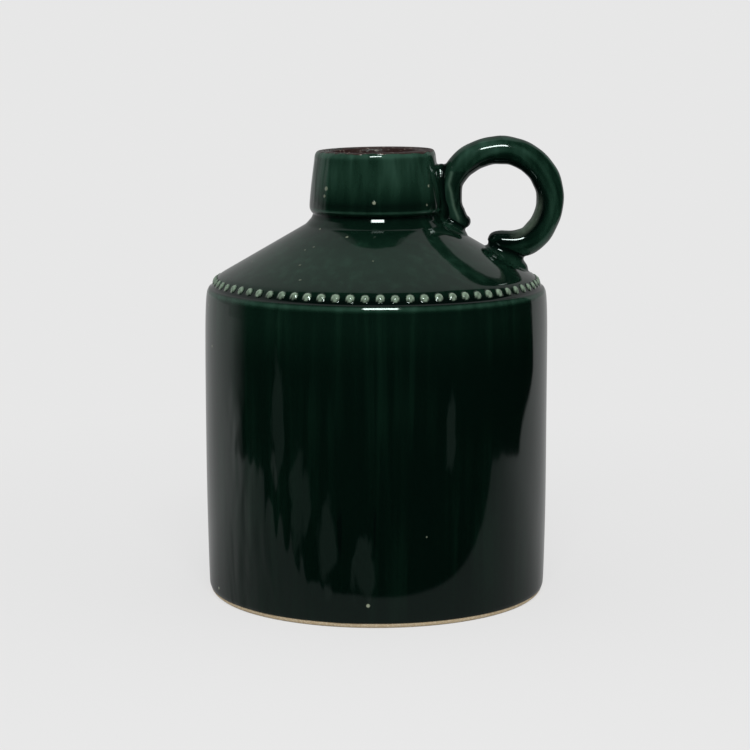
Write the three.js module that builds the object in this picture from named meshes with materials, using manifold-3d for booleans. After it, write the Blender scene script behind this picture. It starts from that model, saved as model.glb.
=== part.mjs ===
// A one-gallon stoneware jug with a beaded shoulder and a ring handle.
//
// The jug is put together the way a potter does it, from clay pieces luted with slip while they
// are leather hard: a base, a thrown wall, a coned shoulder, a strip of beads, a collar, a lip and
// a rolled coil for the handle, with a pad of slip at each place where the coil is fixed. Turned
// pieces seat in rebates. Nothing on the jug moves.
//
// Millimetres, +Z up. The origin is the centre of the foot, on the jug's axis, and the handle
// stands out along +X.

import * as THREE from "three";
import { mergeVertices } from "three/addons/utils/BufferGeometryUtils.js";
import Module from "manifold-3d";

const wasm = await Module();
wasm.setup();

// ---------------------------------------------------------------- driving dimensions

const bodyRadius = 89; // outside of the wall, where it is widest
const wallHeight = 160; // top of the wall's outer edge
const wallThickness = 6.5; // of the wall and the shoulder
const wallCrown = 2.4; // how much the wall's top edge leans in
const crownHeight = 22; // height of the part that leans in
const footTaper = 1.1; // how much narrower the wall is at the foot
const taperHeight = 60; // height over which it narrows

const baseThickness = 9; // floor of the jug
const bareFootHeight = 2.8; // unglazed band at the foot
const footChamfer = 2.2; // taken off the foot's bottom edge

const shoulderSlope = THREE.MathUtils.degToRad(30.2);
const seamDepth = 4; // rebate that holds the shoulder in the wall
const edgeLip = 2.6; // width of the wall's lip outside that rebate
const shoulderLedge = 4; // thickening inside the shoulder, over the wall
const rootTuck = 1.95; // how far the shoulder's top is tucked in under the collar
const rootFlare = 6.9; // width of the hollow curve from the shoulder up to its top
const rootRise = 5; // height of that curve

const collarHeight = 30.5; // from the shoulder's top to the lip
const collarRadius = 34.45; // at its widest, just above its rounded lower edge
const collarTaper = 3.25; // how much narrower it is at its top
const collarUndercut = 6; // height of the rounded lower edge
const boreRadius = 23; // mouth and neck
const spigotHeight = 4.5; // the shoulder's spigot, inside the collar

const lipHeight = 4; // the dark lip above the collar
const lipTongue = 1.8; // how far its inner edge reaches down into the collar
const lipRounding = 0.37; // of its outer edge, as a share of its width

const bandThickness = 1.6; // the strip that the beads stand on
const bandWidth = 7.1; // across its face
const bandSlope = THREE.MathUtils.degToRad(50);
const beadRadius = 2.3;
const beadHeight = 1.3; // above the strip
const beadPitch = 7.3; // along the strip
const firstBead = THREE.MathUtils.degToRad(1.2); // from the handle's side of the jug

const handleRadius = 26; // of the coil's centreline
const coilRadius = 7.15;
const coilBite = 3; // how far the round coil is pressed flat against the collar
const handleLift = 24.8; // handle's centre above the shoulder, square to it
const toeTurn = THREE.MathUtils.degToRad(47); // opening, from the square down to the inner end
const heelTurn = THREE.MathUtils.degToRad(35); // opening, from the square down to the outer end
const slipThickness = 1.5; // between the coil and the jug

// The coil's two ends are pressed on the shoulder, and each has a pad of slip under it. out is a
// place from the handle's centre, in handle radii; lift, square to the shoulder, and halves, the
// half-widths along, across and square to it, are in coil radii.
const toeEnd = { out: -0.9, lift: 0.95, halves: [1, 1, 1] };
const heelEnd = { out: 0.1, lift: 0.75, halves: [1.4, 1, 0.75] };
const toePad = { out: -0.83, lift: 0.07, halves: [1.25, 1.3, 0.48] };
const heelPad = { out: 0.1, lift: 0.07, halves: [1.75, 1.45, 0.5] };
const collarPadHalves = [0.42, 1.15, 1.55]; // the web to the collar, in coil radii
const collarPadHeight = 0.32; // its place, as a share of the collar's height above its widest

const seamGap = 0.3; // clearance round a piece that is cut to fit its neighbours
const turns = 48; // facets round each turned piece
const curveSteps = 4; // straight pieces in each curve of a turned profile
const coilSides = 12;
const coilSteps = 32;

// ---------------------------------------------------------------- places worked out from them

const wallInside = bodyRadius - wallThickness;
const footRadius = bodyRadius - footTaper;
const crownRadius = bodyRadius - wallCrown;
const rootRadius = collarRadius - rootTuck;
const collarTopRadius = collarRadius - collarTaper;
const seatRadius = crownRadius - edgeLip; // the shoulder's edge, inside the wall's lip
const seatHeight = wallHeight - seamDepth;

// The strip stands on the wall's lip and leans in against the shoulder, up to where the cone starts.
const bandFoot = new THREE.Vector2(seatRadius, wallHeight);
const bandAlong = new THREE.Vector2(-Math.cos(bandSlope), Math.sin(bandSlope));
const bandOut = new THREE.Vector2(Math.sin(bandSlope), Math.cos(bandSlope));
const bandFace = new THREE.Vector2(seatRadius + bandThickness / Math.sin(bandSlope), wallHeight);
const coneStart = bandFace.clone().addScaledVector(bandAlong, bandWidth);
const bandTop = coneStart.clone().addScaledVector(bandOut, -bandThickness);
const coneEnd = new THREE.Vector2(
  rootRadius + rootFlare,
  coneStart.y + (coneStart.x - rootRadius - rootFlare) * Math.tan(shoulderSlope),
);
const rootHeight = coneEnd.y + rootRise;
const collarTop = rootHeight + collarHeight;
const mouthHeight = collarTop + lipHeight;
const spigotRadius = (boreRadius + rootRadius) / 2;
const tongueRadius = (boreRadius + collarTopRadius) / 2;
const rounding = lipRounding * (collarTopRadius - boreRadius);

// A point above the shoulder's cone: its distance from the axis, and its height square to the cone.
const coneNormal = new THREE.Vector2(Math.sin(shoulderSlope), Math.cos(shoulderSlope));
function aboveCone(radius, lift) {
  const foot = radius - lift * coneNormal.x;
  return new THREE.Vector2(
    radius,
    coneEnd.y - (foot - coneEnd.x) * Math.tan(shoulderSlope) + lift * coneNormal.y,
  );
}

// ---------------------------------------------------------------- materials

const greenGlaze = new THREE.MeshStandardMaterial({ color: 0x12382a, roughness: 0.12, metalness: 0 });
const paleGlaze = new THREE.MeshStandardMaterial({ color: 0x4f7a5c, roughness: 0.15, metalness: 0 });
const brownGlaze = new THREE.MeshStandardMaterial({ color: 0x43211f, roughness: 0.4, metalness: 0 });
const bareClay = new THREE.MeshStandardMaterial({ color: 0xc2ab7a, roughness: 0.9, metalness: 0 });

// ---------------------------------------------------------------- tools

const jug = new THREE.Group();

function addPiece(name, geometry, material) {
  const mesh = new THREE.Mesh(geometry, material);
  mesh.name = name;
  jug.add(mesh);
}

// A closed profile of (radius, height) turned round the jug's axis.
function turned(profile) {
  const geometry = new THREE.LatheGeometry(profile.getPoints(curveSteps), turns);
  return geometry.rotateX(Math.PI / 2);
}

function solidOf(geometry) {
  const bare = geometry.clone();
  bare.deleteAttribute("normal");
  bare.deleteAttribute("uv");
  const merged = mergeVertices(bare, 1e-4);
  return new wasm.Manifold(
    new wasm.Mesh({
      numProp: 3,
      vertProperties: merged.attributes.position.array,
      triVerts: new Uint32Array(merged.index.array),
    }),
  );
}

function geometryOf(solid) {
  const mesh = solid.getMesh();
  return new THREE.BufferGeometry()
    .setAttribute("position", new THREE.BufferAttribute(mesh.vertProperties, 3))
    .setIndex(new THREE.BufferAttribute(mesh.triVerts, 1));
}

// A ball squashed to three half-widths, tilted in the XZ plane so that its third one leans by tilt.
function lump(place, halves, tilt) {
  const geometry = new THREE.SphereGeometry(1, 16, 8)
    .scale(...halves)
    .rotateY(tilt)
    .translate(place.x, 0, place.y);
  return solidOf(geometry);
}

// ---------------------------------------------------------------- turned pieces

// The base's plug fits inside the wall, and the wall stands on the ledge round it.
function baseDisc() {
  const profile = new THREE.Path();
  profile.moveTo(0, 0);
  profile.lineTo(footRadius - footChamfer, 0);
  profile.quadraticCurveTo(footRadius, 0.2 * bareFootHeight, footRadius, bareFootHeight);
  profile.lineTo(wallInside, bareFootHeight);
  profile.lineTo(wallInside, baseThickness);
  profile.lineTo(0, baseThickness);
  return turned(profile);
}

function bodyWall() {
  const profile = new THREE.Path();
  profile.moveTo(wallInside, bareFootHeight);
  profile.lineTo(footRadius, bareFootHeight);
  profile.quadraticCurveTo(bodyRadius, taperHeight / 2, bodyRadius, taperHeight);
  profile.lineTo(bodyRadius, wallHeight - crownHeight);
  profile.quadraticCurveTo(bodyRadius, wallHeight - seamDepth, crownRadius, wallHeight);
  profile.lineTo(seatRadius, wallHeight);
  profile.lineTo(seatRadius, seatHeight);
  profile.lineTo(wallInside, seatHeight);
  profile.lineTo(wallInside, bareFootHeight);
  return turned(profile);
}

// The shoulder sits in the wall's rebate, and its spigot goes up inside the collar.
function shoulder() {
  const drop = wallThickness / Math.cos(shoulderSlope);
  const insideTop = coneEnd.y - drop + (coneEnd.x - boreRadius) * Math.tan(shoulderSlope);
  const ledgeRadius = wallInside - shoulderLedge;
  const insideLow = coneEnd.y - drop - (ledgeRadius - coneEnd.x) * Math.tan(shoulderSlope);
  const profile = new THREE.Path();
  profile.moveTo(wallInside, seatHeight);
  profile.lineTo(seatRadius, seatHeight);
  profile.lineTo(bandFoot.x, bandFoot.y);
  profile.lineTo(bandTop.x, bandTop.y);
  profile.lineTo(coneStart.x, coneStart.y);
  profile.lineTo(coneEnd.x, coneEnd.y);
  profile.quadraticCurveTo(rootRadius, coneEnd.y + 0.6 * rootRise, rootRadius, rootHeight);
  profile.lineTo(spigotRadius, rootHeight);
  profile.lineTo(spigotRadius, rootHeight + spigotHeight);
  profile.lineTo(boreRadius, rootHeight + spigotHeight);
  profile.lineTo(boreRadius, insideTop);
  profile.lineTo(ledgeRadius, insideLow);
  profile.lineTo(wallInside, seatHeight);
  return turned(profile);
}

function neckCollar() {
  const profile = new THREE.Path();
  profile.moveTo(spigotRadius, rootHeight);
  profile.lineTo(rootRadius, rootHeight);
  profile.quadraticCurveTo(
    collarRadius,
    rootHeight + 0.4 * collarUndercut,
    collarRadius,
    rootHeight + collarUndercut,
  );
  profile.lineTo(collarTopRadius, collarTop);
  profile.lineTo(tongueRadius, collarTop);
  profile.lineTo(tongueRadius, collarTop - lipTongue);
  profile.lineTo(boreRadius, collarTop - lipTongue);
  profile.lineTo(boreRadius, rootHeight + spigotHeight);
  profile.lineTo(spigotRadius, rootHeight + spigotHeight);
  profile.lineTo(spigotRadius, rootHeight);
  return turned(profile);
}

function mouthLip() {
  const profile = new THREE.Path();
  profile.moveTo(boreRadius, collarTop - lipTongue);
  profile.lineTo(tongueRadius, collarTop - lipTongue);
  profile.lineTo(tongueRadius, collarTop);
  profile.lineTo(collarTopRadius, collarTop);
  profile.lineTo(collarTopRadius, mouthHeight - rounding);
  profile.quadraticCurveTo(collarTopRadius, mouthHeight, collarTopRadius - rounding, mouthHeight);
  profile.lineTo(boreRadius + rounding / 2, mouthHeight);
  profile.quadraticCurveTo(boreRadius, mouthHeight, boreRadius, mouthHeight - rounding / 2);
  profile.lineTo(boreRadius, collarTop - lipTongue);
  return turned(profile);
}

// The strip and its beads are rolled and pressed as one: each bead is a ball sunk in the strip.
function beadBand() {
  const profile = new THREE.Path();
  profile.moveTo(bandFoot.x, bandFoot.y);
  profile.lineTo(bandFace.x, bandFace.y);
  profile.lineTo(coneStart.x, coneStart.y);
  profile.lineTo(bandTop.x, bandTop.y);
  profile.lineTo(bandFoot.x, bandFoot.y);
  const strip = solidOf(turned(profile));

  const middle = bandFace.clone().lerp(coneStart, 0.5);
  const count = Math.round((2 * Math.PI * middle.x) / beadPitch);
  const beads = [];
  for (let i = 0; i < count; i++) {
    const bead = new THREE.OctahedronGeometry(1, 1)
      .scale(beadRadius, beadRadius, beadHeight)
      .rotateY(bandSlope)
      .translate(middle.x, 0, middle.y)
      .rotateZ(firstBead + (2 * Math.PI * i) / count);
    beads.push(solidOf(bead));
  }
  return geometryOf(strip.add(wasm.Manifold.union(beads)));
}

// ---------------------------------------------------------------- handle

// The jug's outside as one solid, grown by a gap, which the handle and its slip are cut back from.
function outside(gap) {
  const lowest = aboveCone(bodyRadius, gap);
  const highest = aboveCone(rootRadius + gap + rootFlare, gap);
  const profile = new THREE.Path();
  profile.moveTo(0, wallHeight / 2);
  profile.lineTo(lowest.x, wallHeight / 2);
  profile.lineTo(lowest.x, lowest.y);
  profile.lineTo(highest.x, highest.y);
  profile.quadraticCurveTo(
    rootRadius + gap,
    highest.y + 0.6 * rootRise,
    rootRadius + gap,
    rootHeight - gap / 2,
  );
  profile.quadraticCurveTo(
    collarRadius + gap,
    rootHeight + 0.3 * collarUndercut - gap,
    collarRadius + gap,
    rootHeight + collarUndercut,
  );
  profile.lineTo(collarTopRadius + gap, collarTop);
  profile.lineTo(collarTopRadius + gap, mouthHeight + gap);
  profile.lineTo(0, mouthHeight + gap);
  return solidOf(turned(profile));
}

const handleCentreX = collarRadius + coilRadius - coilBite + handleRadius;
const handleCentre = aboveCone(handleCentreX, handleLift);
const squareDown = (3 / 2) * Math.PI - shoulderSlope; // direction from the centre down to the cone

// The coil's centreline, from its outer end round to its inner end, and past each end by a gap.
class RingArc extends THREE.Curve {
  constructor(gap) {
    super();
    this.past = gap / handleRadius;
  }

  getPoint(t, target = new THREE.Vector3()) {
    const swept = 2 * Math.PI - heelTurn - toeTurn + 2 * this.past;
    const angle = squareDown + heelTurn - this.past + t * swept;
    return target.set(
      handleCentre.x + handleRadius * Math.cos(angle),
      0,
      handleCentre.y + handleRadius * Math.sin(angle),
    );
  }
}

// An end of the coil or a pad of slip, as a squashed ball grown by a gap.
function onShoulder({ out, lift, halves }, gap) {
  const place = aboveCone(handleCentre.x + out * handleRadius, lift * coilRadius);
  return lump(place, halves.map((half) => half * coilRadius + gap), shoulderSlope);
}

function onCollar(gap) {
  const place = new THREE.Vector2(
    collarRadius + seamGap + slipThickness / 2,
    rootHeight + collarUndercut + collarPadHeight * collarHeight,
  );
  return lump(place, collarPadHalves.map((half) => half * coilRadius + gap), 0);
}

function coil(gap) {
  const section = new THREE.Shape();
  section.absarc(0, 0, coilRadius + gap, 0, 2 * Math.PI);
  const ring = new THREE.ExtrudeGeometry(section, {
    curveSegments: coilSides,
    steps: coilSteps,
    extrudePath: new RingArc(gap),
  });
  const whole = solidOf(ring).add(onShoulder(toeEnd, gap)).add(onShoulder(heelEnd, gap));
  return whole.subtract(outside(2 * seamGap + slipThickness - gap));
}

// ---------------------------------------------------------------- the jug

addPiece("base_disc", baseDisc(), bareClay);
addPiece("body_wall", bodyWall(), greenGlaze);
addPiece("shoulder", shoulder(), greenGlaze);
addPiece("bead_band", beadBand(), paleGlaze);
addPiece("neck_collar", neckCollar(), greenGlaze);
addPiece("mouth_lip", mouthLip(), brownGlaze);
addPiece("handle_coil", geometryOf(coil(0)), greenGlaze);

// Each pad is cut to fit the jug, the coil and the pad beside it.
const jugGrown = outside(seamGap);
const coilGrown = coil(seamGap);
const fitted = (pad) => pad.subtract(jugGrown).subtract(coilGrown);
const toeSlip = fitted(onShoulder(toePad, 0));
const heelSlip = fitted(onShoulder(heelPad, 0));
const collarSlip = fitted(onCollar(0)).subtract(onShoulder(toePad, seamGap));
addPiece("toe_slip", geometryOf(toeSlip), greenGlaze);
addPiece("heel_slip", geometryOf(heelSlip), greenGlaze);
addPiece("collar_slip", geometryOf(collarSlip), greenGlaze);

export default jug;
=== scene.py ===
"""A one-gallon stoneware jug under a dark green glaze, with a beaded shoulder and a ring handle.

The turned pieces are made by one Geometry Nodes tree that turns an outline round the Z axis and
raises the beads. The handle's coil and the slip that fixes it are drawn from distance fields, so
that the clay runs smoothly from one into the other. All pieces share the frame's place and size:
metres, +Z up, the foot's centre at the origin and the handle towards +X.
"""

from __future__ import annotations

import logging
import math
from dataclasses import dataclass, field
from enum import Enum
from typing import Any, Callable, Mapping, Sequence

import bpy
import numpy as np
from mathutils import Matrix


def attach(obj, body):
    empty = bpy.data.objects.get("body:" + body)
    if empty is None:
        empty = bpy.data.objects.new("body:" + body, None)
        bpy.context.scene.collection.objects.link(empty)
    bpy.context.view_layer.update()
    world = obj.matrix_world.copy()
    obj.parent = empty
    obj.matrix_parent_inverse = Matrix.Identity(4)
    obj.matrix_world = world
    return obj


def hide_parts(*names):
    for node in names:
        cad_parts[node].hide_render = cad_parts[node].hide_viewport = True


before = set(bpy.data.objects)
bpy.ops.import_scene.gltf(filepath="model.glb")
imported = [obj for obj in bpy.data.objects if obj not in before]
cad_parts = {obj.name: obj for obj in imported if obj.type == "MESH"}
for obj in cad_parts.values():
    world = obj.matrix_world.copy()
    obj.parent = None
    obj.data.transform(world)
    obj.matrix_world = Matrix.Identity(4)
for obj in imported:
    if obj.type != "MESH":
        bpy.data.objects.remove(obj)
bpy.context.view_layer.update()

LOG = logging.getLogger("jug")
MM = 0.001
SHOULDER_SLOPE = math.radians(30.2)
BLACK, WHITE = (0.0, 0.0, 0.0, 1.0), (1.0, 1.0, 1.0, 1.0)
Colour = tuple[float, float, float, float]
Place = tuple[float, float, float]
Field = Callable[[np.ndarray], np.ndarray]


def placed(name: str, data: Any) -> bpy.types.Object:
    """Puts a mesh, a lamp or a camera in the scene as an object."""
    made = bpy.data.objects.new(name, data)
    bpy.context.scene.collection.objects.link(made)
    return made


# ------------------------------------------------------------------------------- node trees


class Signal:
    """A number in a node tree that takes part in Python arithmetic."""

    def __init__(self, graph: Graph, socket: bpy.types.NodeSocket) -> None:
        """Wraps a socket.

        Args:
            graph: the tree that the socket belongs to.
            socket: the output that carries the number.
        """
        self.graph = graph
        self.socket = socket

    def math(self, operation: str, *others: Any) -> Signal:
        """Adds a Math node with this number first.

        Args:
            operation: the Math node's operation.
            others: the numbers that follow it.

        Returns:
            The node's result.
        """
        values = dict(enumerate((self, *others)))
        return self.graph.out(self.graph.node("ShaderNodeMath", {"operation": operation}, values))

    def after(self, operation: str, first: Any) -> Signal:
        """Adds a Math node with this number second.

        Args:
            operation: the Math node's operation.
            first: the number that comes before it.

        Returns:
            The node's result.
        """
        values = {0: first, 1: self}
        return self.graph.out(self.graph.node("ShaderNodeMath", {"operation": operation}, values))

    def __add__(self, other: Any) -> Signal:
        """Returns self + other."""
        return self.math("ADD", other)

    def __radd__(self, other: Any) -> Signal:
        """Returns other + self."""
        return self.after("ADD", other)

    def __sub__(self, other: Any) -> Signal:
        """Returns self - other."""
        return self.math("SUBTRACT", other)

    def __rsub__(self, other: Any) -> Signal:
        """Returns other - self."""
        return self.after("SUBTRACT", other)

    def __mul__(self, other: Any) -> Signal:
        """Returns self * other."""
        return self.math("MULTIPLY", other)

    def __rmul__(self, other: Any) -> Signal:
        """Returns other * self."""
        return self.after("MULTIPLY", other)

    def __truediv__(self, other: Any) -> Signal:
        """Returns self / other."""
        return self.math("DIVIDE", other)

    def __rtruediv__(self, other: Any) -> Signal:
        """Returns other / self."""
        return self.after("DIVIDE", other)

    def __pow__(self, other: Any) -> Signal:
        """Returns self to the power of other."""
        return self.math("POWER", other)

    def __gt__(self, other: Any) -> Signal:
        """Returns 1 where self is over other, else 0."""
        return self.math("GREATER_THAN", other)

    def step(self, low: float, high: float) -> Signal:
        """Runs smoothly from 0 at low to 1 at high.

        Args:
            low: the number that gives 0.
            high: the number that gives 1; it may be under low.

        Returns:
            The smooth step.
        """
        flip = high < low
        ends = (high, low) if flip else (low, high)
        node = self.graph.node(
            "ShaderNodeMapRange",
            {"interpolation_type": "SMOOTHSTEP"},
            {"Value": self, "From Min": ends[0], "From Max": ends[1]},
        )
        risen = self.graph.out(node)
        return 1 - risen if flip else risen


class Graph:
    """A node tree that is wired from Python."""

    def __init__(self, tree: bpy.types.NodeTree) -> None:
        """Wraps a tree.

        Args:
            tree: the node tree to add to.
        """
        self.tree = tree

    def node(
        self,
        kind: str,
        settings: Mapping[str, Any] | None = None,
        inputs: Mapping[str | int, Any] | None = None,
    ) -> bpy.types.Node:
        """Adds one node.

        Args:
            kind: the node's type.
            settings: its own properties.
            inputs: values or links for its sockets, by name or number.

        Returns:
            The node.
        """
        made = self.tree.nodes.new(kind)
        for key, value in (settings or {}).items():
            setattr(made, key, value)
        for key, value in (inputs or {}).items():
            if isinstance(value, Signal):
                value = value.socket
            if isinstance(value, bpy.types.NodeSocket):
                self.tree.links.new(value, made.inputs[key])
            else:
                made.inputs[key].default_value = value
        return made

    def out(self, node: bpy.types.Node, output: str | int = 0) -> Signal:
        """Returns one of a node's outputs as a number for arithmetic."""
        return Signal(self, node.outputs[output])

    def mix(self, factor: Any, first: Any, second: Any) -> bpy.types.NodeSocket:
        """Mixes two colours.

        Args:
            factor: 0 gives the first, 1 the second.
            first: a colour or a link.
            second: a colour or a link.

        Returns:
            The mixed colour.
        """
        node = self.node("ShaderNodeMix", {"data_type": "RGBA"}, {0: factor, 6: first, 7: second})
        return node.outputs[2]


class Paint(Graph):
    """A material's tree, with the patterns that glazes and clay are made of."""

    def __init__(self, name: str) -> None:
        """Makes a material with an empty tree.

        Args:
            name: the material's name.
        """
        self.material = bpy.data.materials.new(name)
        self.material.use_nodes = True
        super().__init__(self.material.node_tree)
        self.tree.nodes.clear()
        self.place = self.node("ShaderNodeTexCoord").outputs["Object"]
        parts = self.node("ShaderNodeSeparateXYZ", None, {0: self.place})
        self.x, self.y, self.z = (self.out(parts, i) for i in range(3))

    def attribute(self, name: str) -> Signal:
        """Returns a number that the mesh carries."""
        node = self.node("ShaderNodeAttribute", {"attribute_name": name})
        return self.out(node, "Fac")

    def stretched(self, size: Sequence[float]) -> bpy.types.NodeSocket:
        """Scales the place so that a pattern's features have these sizes.

        Args:
            size: feature sizes along X, Y and Z, in metres.

        Returns:
            The scaled place.
        """
        scale = tuple(1 / s for s in size)
        node = self.node("ShaderNodeMapping", None, {"Vector": self.place, "Scale": scale})
        return node.outputs[0]

    def noise(self, size: Sequence[float], detail: float = 2, distortion: float = 0) -> Signal:
        """Returns cloudy noise around 0.5.

        Args:
            size: feature sizes along X, Y and Z, in metres.
            detail: octaves of finer noise.
            distortion: how much the clouds swirl.

        Returns:
            The noise.
        """
        inputs = {
            "Vector": self.stretched(size),
            "Scale": 1.0,
            "Detail": detail,
            "Distortion": distortion,
        }
        return self.out(self.node("ShaderNodeTexNoise", None, inputs), "Fac")

    def dots(self, size: float, radius: float, share: float) -> Signal:
        """Returns scattered round dots, 1 at their middle.

        Args:
            size: mean distance between the places where a dot may be, in metres.
            radius: a dot's radius as a share of that distance.
            share: the share of places that have a dot.

        Returns:
            The dots.
        """
        inputs = {"Vector": self.stretched((size,) * 3), "Scale": 1.0}
        cells = self.node("ShaderNodeTexVoronoi", None, inputs)
        tint = self.node("ShaderNodeSeparateColor", None, {0: cells.outputs["Color"]})
        kept = self.out(tint).step(1 - share, 1 - share + 0.02)
        return self.out(cells, "Distance").step(radius, radius * 0.4) * kept

    def near(self, place: Sequence[float], radii: Sequence[float]) -> Signal:
        """Measures how far out of an egg-shaped room each place is.

        Args:
            place: the room's middle, in mm.
            radii: its radii along X, Y and Z, in mm.

        Returns:
            0 in the room's middle and 1 on its edge.
        """
        middle = tuple(v * MM for v in place)
        scale = tuple(1 / (v * MM) for v in radii)
        kind = "ShaderNodeVectorMath"
        away = self.node(kind, {"operation": "SUBTRACT"}, {0: self.place, 1: middle})
        even = self.node(kind, {"operation": "MULTIPLY"}, {0: away.outputs[0], 1: scale})
        node = self.node(kind, {"operation": "LENGTH"}, {0: even.outputs[0]})
        return self.out(node, "Value")

    def glow(self, level: Any) -> bpy.types.Node:
        """Adds a shader that shines.

        Args:
            level: how bright it is, from 0 to 1: a number or a link.

        Returns:
            The shader.
        """
        linked = isinstance(level, Signal)
        colour = self.mix(level, BLACK, WHITE) if linked else (level, level, level, 1)
        return self.node("ShaderNodeEmission", None, {"Color": colour})

    def surface(
        self, colour: Any, rough: Any, height: Any, bump: tuple[float, float], **more: Any
    ) -> bpy.types.Material:
        """Finishes the material as a solid surface.

        Args:
            colour: its colour.
            rough: its roughness.
            height: how far it is raised.
            bump: the bump's strength and, in metres, its distance.
            more: other values of the shader, by name.

        Returns:
            The material.
        """
        inputs = {"Strength": bump[0], "Distance": bump[1], "Height": height}
        normal = self.node("ShaderNodeBump", None, inputs).outputs[0]
        values = {"Base Color": colour, "Roughness": rough, "Normal": normal, **more}
        return self.finish(self.node("ShaderNodeBsdfPrincipled", None, values))

    def finish(self, shader: bpy.types.Node) -> bpy.types.Material:
        """Joins the shader to the output and returns the material."""
        self.node("ShaderNodeOutputMaterial", None, {"Surface": shader.outputs[0]})
        return self.material


# ------------------------------------------------------------------------------- finishes


@dataclass(frozen=True)
class Fleck:
    """A pinhole or a crumb in the glaze: its place and radius in mm and how pale it is."""

    place: Place
    radius: float
    shade: float


@dataclass(frozen=True)
class GreenGlaze:
    """Dark green glaze that runs thinner and paler on edges and pools nearly black in grooves;
    light and shade are painted into it in places.
    """

    deep: Colour = (0.0007, 0.0036, 0.0024, 1)
    middle: Colour = (0.0046, 0.0185, 0.0105, 1)
    thin_and_lit: Colour = (0.026, 0.066, 0.046, 1)
    pale: Colour = (0.25, 0.34, 0.25, 1)
    pooled_and_shaded: Colour = (0.0006, 0.0020, 0.0018, 1)
    brown: Colour = (0.032, 0.011, 0.010, 1)
    glint_cream: Colour = (0.46, 0.38, 0.31, 1)
    fleck: Colour = (0.26, 0.29, 0.21, 1)
    veil: Colour = (0.0085, 0.0150, 0.0120, 1)
    mouth: float = 229.1 * MM
    bore: float = 24.4 * MM
    roughness: float = 0.05
    gloss: float = 1.52
    sheen: Colour = (0.85, 1.0, 0.95, 1)
    crawled: tuple[Place, Place] = ((-8.0, -88.0, 36.0), (24.0, 30.0, 30.0))
    veils: tuple[tuple[Place, Place], ...] = (
        ((-48.5, -74.4, 105.0), (4.6, 5.0, 36.0)),
        ((36.5, -80.8, 98.0), (3.2, 4.0, 22.0)),
        ((-38.0, -80.0, 62.0), (7.0, 6.0, 30.0)),
        ((-24.0, -85.2, 40.0), (6.0, 5.0, 26.0)),
        ((-6.0, -88.0, 30.0), (7.0, 5.0, 22.0)),
    )
    flecks: tuple[Fleck, ...] = (
        Fleck((-63.2, -21.0, 174.1), 0.9, 0.25),
        Fleck((-57.1, -10.1, 179.1), 0.8, 0.25),
        Fleck((-35.7, -39.1, 182.1), 0.7, 0.25),
        Fleck((-31.2, -39.4, 183.6), 0.8, 0.25),
        Fleck((-37.8, -51.1, 175.8), 0.8, 0.25),
        Fleck((-37.4, -63.7, 169.8), 0.9, 0.25),
        Fleck((-1.7, -58.7, 178.6), 0.6, 0.4),
        Fleck((-14.7, -39.0, 188.6), 0.9, 0.6),
        Fleck((-28.5, -24.0, 191.2), 0.7, 0.6),
        # The flecks on the collar are raised crumbs whose pale colour is partly a painted
        # highlight.
        Fleck((-25.3, -21.9, 211.4), 1.4, 0.5),
        Fleck((-26.3, -21.6, 207.6), 1.0, 0.4),
        Fleck((-1.2, -34.0, 205.1), 1.1, 0.8),
        Fleck((26.6, -19.7, 212.6), 0.9, 0.6),
        Fleck((25.6, -22.8, 203.2), 0.7, 0.5),
        Fleck((-4.1, -88.0, 12.0), 1.2, 1.0),
        Fleck((-85.2, -22.5, 152.3), 0.8, 0.7),
        Fleck((-83.3, -30.5, 132.3), 0.8, 0.6),
        Fleck((-80.9, -34.6, 7.3), 1.0, 0.8),
    )

    def body(self, p: Paint, streaks: Signal, clouds: Signal, mottle: Signal) -> Any:
        """Colours the glaze by how thick it lies, by the light and shade painted on the handle, and
        darker towards +X.

        Args:
            p: the material's tree.
            streaks: upright streaks.
            clouds: broad clouds.
            mottle: fine grain.

        Returns:
            The colour.
        """
        thin_and_lit, pool, pale = (p.attribute(n) for n in ("thin_and_lit", "pool", "pale"))
        run = (streaks * 0.6 + clouds * 0.5).step(0.50, 0.80) * 0.16
        contrast = p.z.step(0.197, 0.201) * 1.2 + p.z.step(0.165, 0.160) * 0.5 + 0.3
        # The glaze is also made darker towards +X.
        amount = thin_and_lit * ((streaks - 0.45) * contrast + mottle * 0.15 + 0.8) + run - p.x * 0.5
        colour = p.mix(amount.step(-0.05, 0.42), self.deep, self.middle)
        colour = p.mix(amount.step(0.15, 1.05), colour, self.thin_and_lit)
        colour = p.mix(pool * 0.92, colour, self.pooled_and_shaded)
        return p.mix(pale * (mottle * 0.9 + 0.35), colour, self.pale)

    def material(self) -> bpy.types.Material:
        """Builds the glaze's material."""
        p = Paint("green_glaze")
        streaks = p.noise((0.0055, 0.0055, 0.14), 3, 0.3)
        clouds = p.noise((0.05, 0.05, 0.07), 2)
        mottle = p.noise((0.0022, 0.0022, 0.0022), 2)
        colour = self.body(p, streaks, clouds, mottle)

        # Pinholes, tongues of thicker glaze, crawl lines and crumbs; the crumbs on the collar are
        # partly painted highlights.
        specks = p.dots(0.013, 0.045, 0.16)
        colour = p.mix(specks * 0.5, colour, self.fleck)
        ragged = p.noise((0.006, 0.006, 0.022), 2, 0.6)
        for place, radii in self.veils:
            away = p.near(place, radii) + (ragged - 0.5) * 1.5
            colour = p.mix(away.step(0.95, 0.55) * 0.62, colour, self.veil)
        creases = p.noise((0.0036, 0.0036, 0.11), 1, 0.2).step(0.60, 0.66)
        low = p.near(*self.crawled).step(1.0, 0.7)
        colour = p.mix(creases * low * 0.7, colour, self.pooled_and_shaded)
        raised: Any = 0.0
        for f in self.flecks:
            spot = p.near(f.place, (f.radius,) * 3).step(1.0, 0.5)
            colour = p.mix(spot * f.shade, colour, self.fleck)
            raised = spot * 0.7 + raised
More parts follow.
